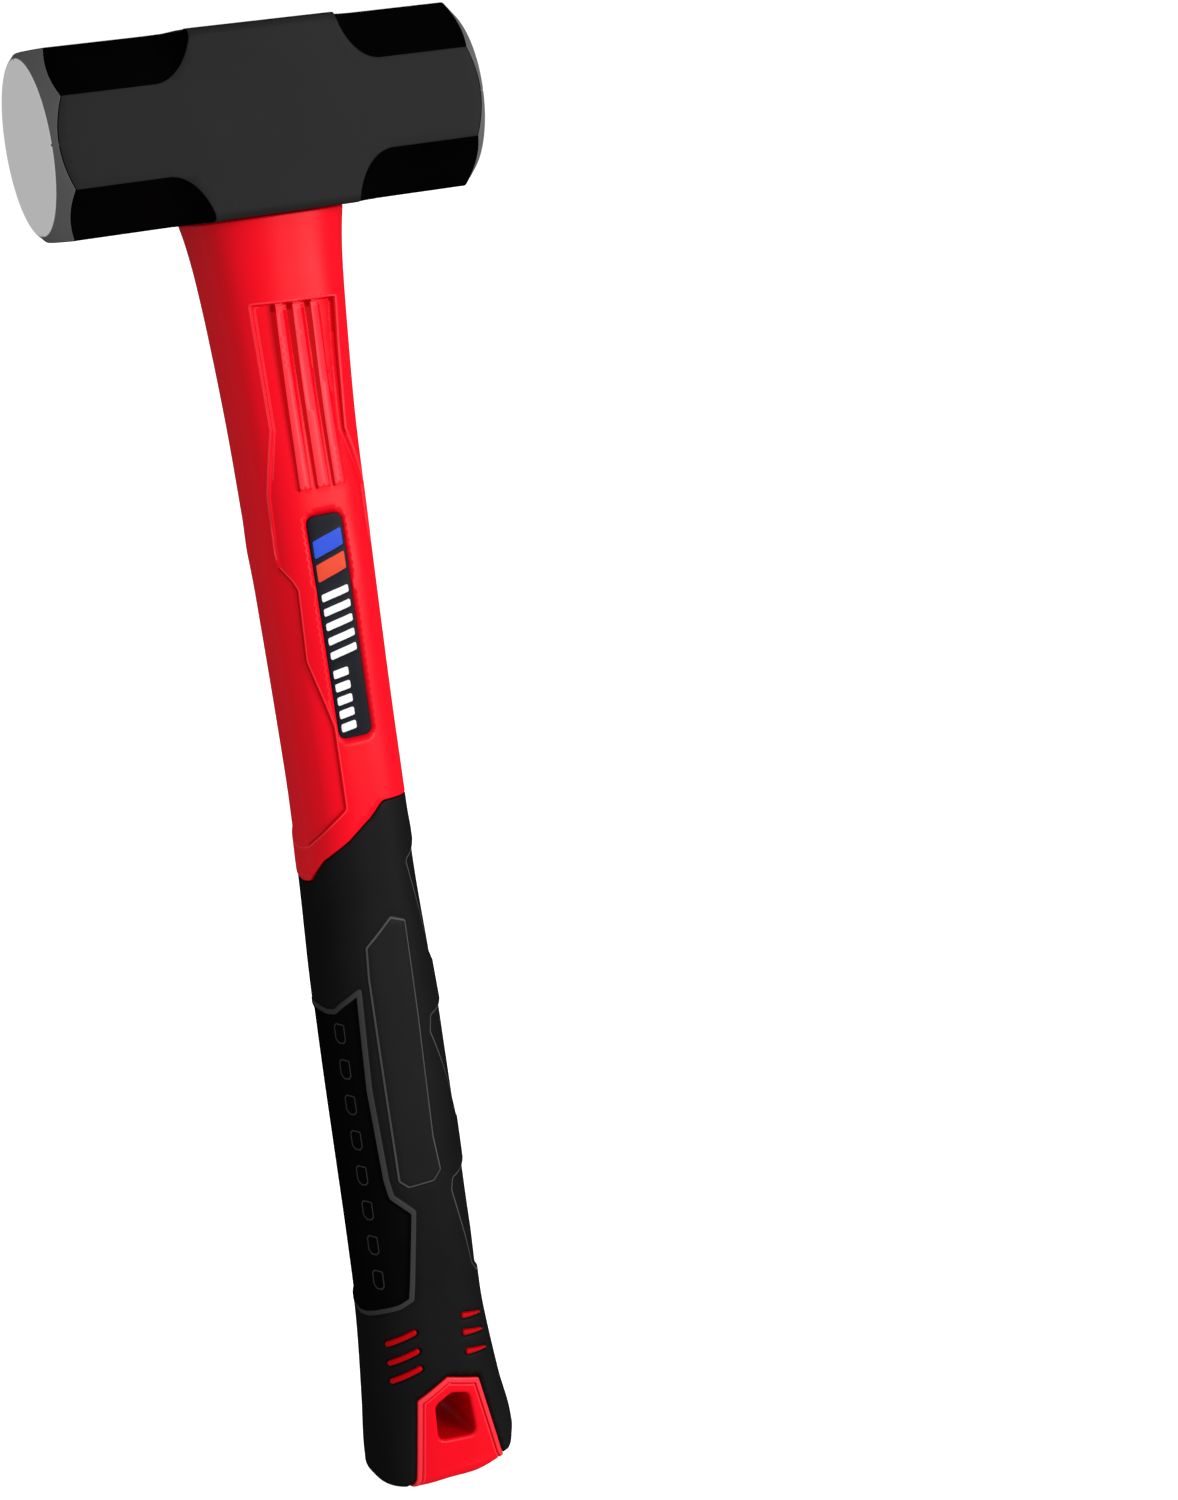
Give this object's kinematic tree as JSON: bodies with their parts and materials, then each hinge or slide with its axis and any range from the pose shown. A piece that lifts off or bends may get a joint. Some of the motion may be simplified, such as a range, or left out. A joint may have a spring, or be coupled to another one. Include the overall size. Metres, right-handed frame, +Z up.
{
  "type": "sledgehammer",
  "caption": "Double-faced short sledgehammer: octagonal-ended forged head on a fibreglass-cored red handle with a black rubber grip and a hang hole in the butt.",
  "frame": {"origin": "under the middle of the head, at the height of the butt's lowest point", "axes": "+Z up the handle to the head, X from one striking face to the other, -Y out of the front cheek"},
  "size_m": [0.11, 0.0448, 0.381],
  "materials": {
    "painted_head": "satin black paint, ground bare on both striking faces",
    "fibreglass": "pultruded fibreglass rod, sawn end",
    "epoxy": "black potting epoxy, slightly glossy",
    "red_jacket": "semi-gloss moulded plastic",
    "black_grip": "matte thermoplastic rubber",
    "label": "smooth printed plate, plain stripes and blocks"
  },
  "bodies": {
    "root": {"steel_head": "painted_head", "fiberglass_core": "fibreglass", "eye_epoxy": "epoxy", "handle_jacket": "red_jacket", "rubber_grip": "black_grip", "label_front": "label", "label_back": "label"}
  },
  "joints": []
}
